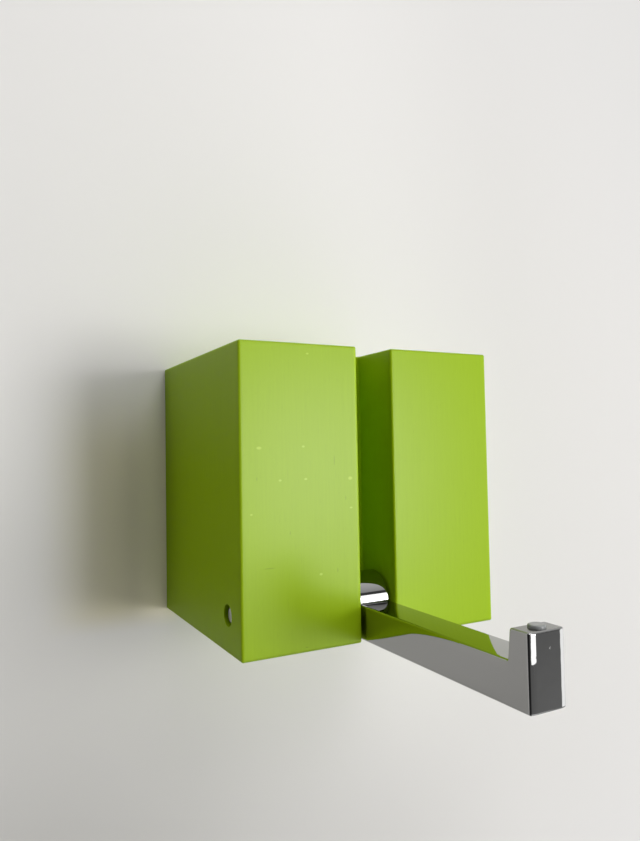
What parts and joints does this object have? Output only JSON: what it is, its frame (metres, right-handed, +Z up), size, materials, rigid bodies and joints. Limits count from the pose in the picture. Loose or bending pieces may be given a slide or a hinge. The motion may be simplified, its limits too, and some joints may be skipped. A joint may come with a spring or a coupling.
{
  "type": "folding wall hook",
  "caption": "Wall hook: a lacquered wooden block with a vertical slot, and a chrome arm with an upturned tip that pivots on a pin and folds up flush into the slot.",
  "frame": {"origin": "middle of the block's back face, on the wall", "axes": "+X along the wall to the right as seen from the room, +Y into the wall, +Z up; the open arm points along -Y"},
  "size_m": [0.07, 0.1126, 0.07],
  "materials": {
    "green_lacquer": "satin lime green lacquer over fine vertical grain",
    "chrome_plate": "polished chrome plate",
    "pin_steel": "ground steel",
    "buffer_grey": "smooth grey"
  },
  "bodies": {
    "block_body": {"block": "green_lacquer", "pivot_pin": "pin_steel"},
    "arm_body": {"hook_arm": "chrome_plate", "tip_buffer": "buffer_grey"}
  },
  "joints": [
    {"name": "arm_fold", "type": "hinge", "parent": "block_body", "child": "arm_body", "pos_m": [0, -0.0515, -0.0265], "axis": [-1, 0, 0], "range_deg": [0, 90]}
  ]
}
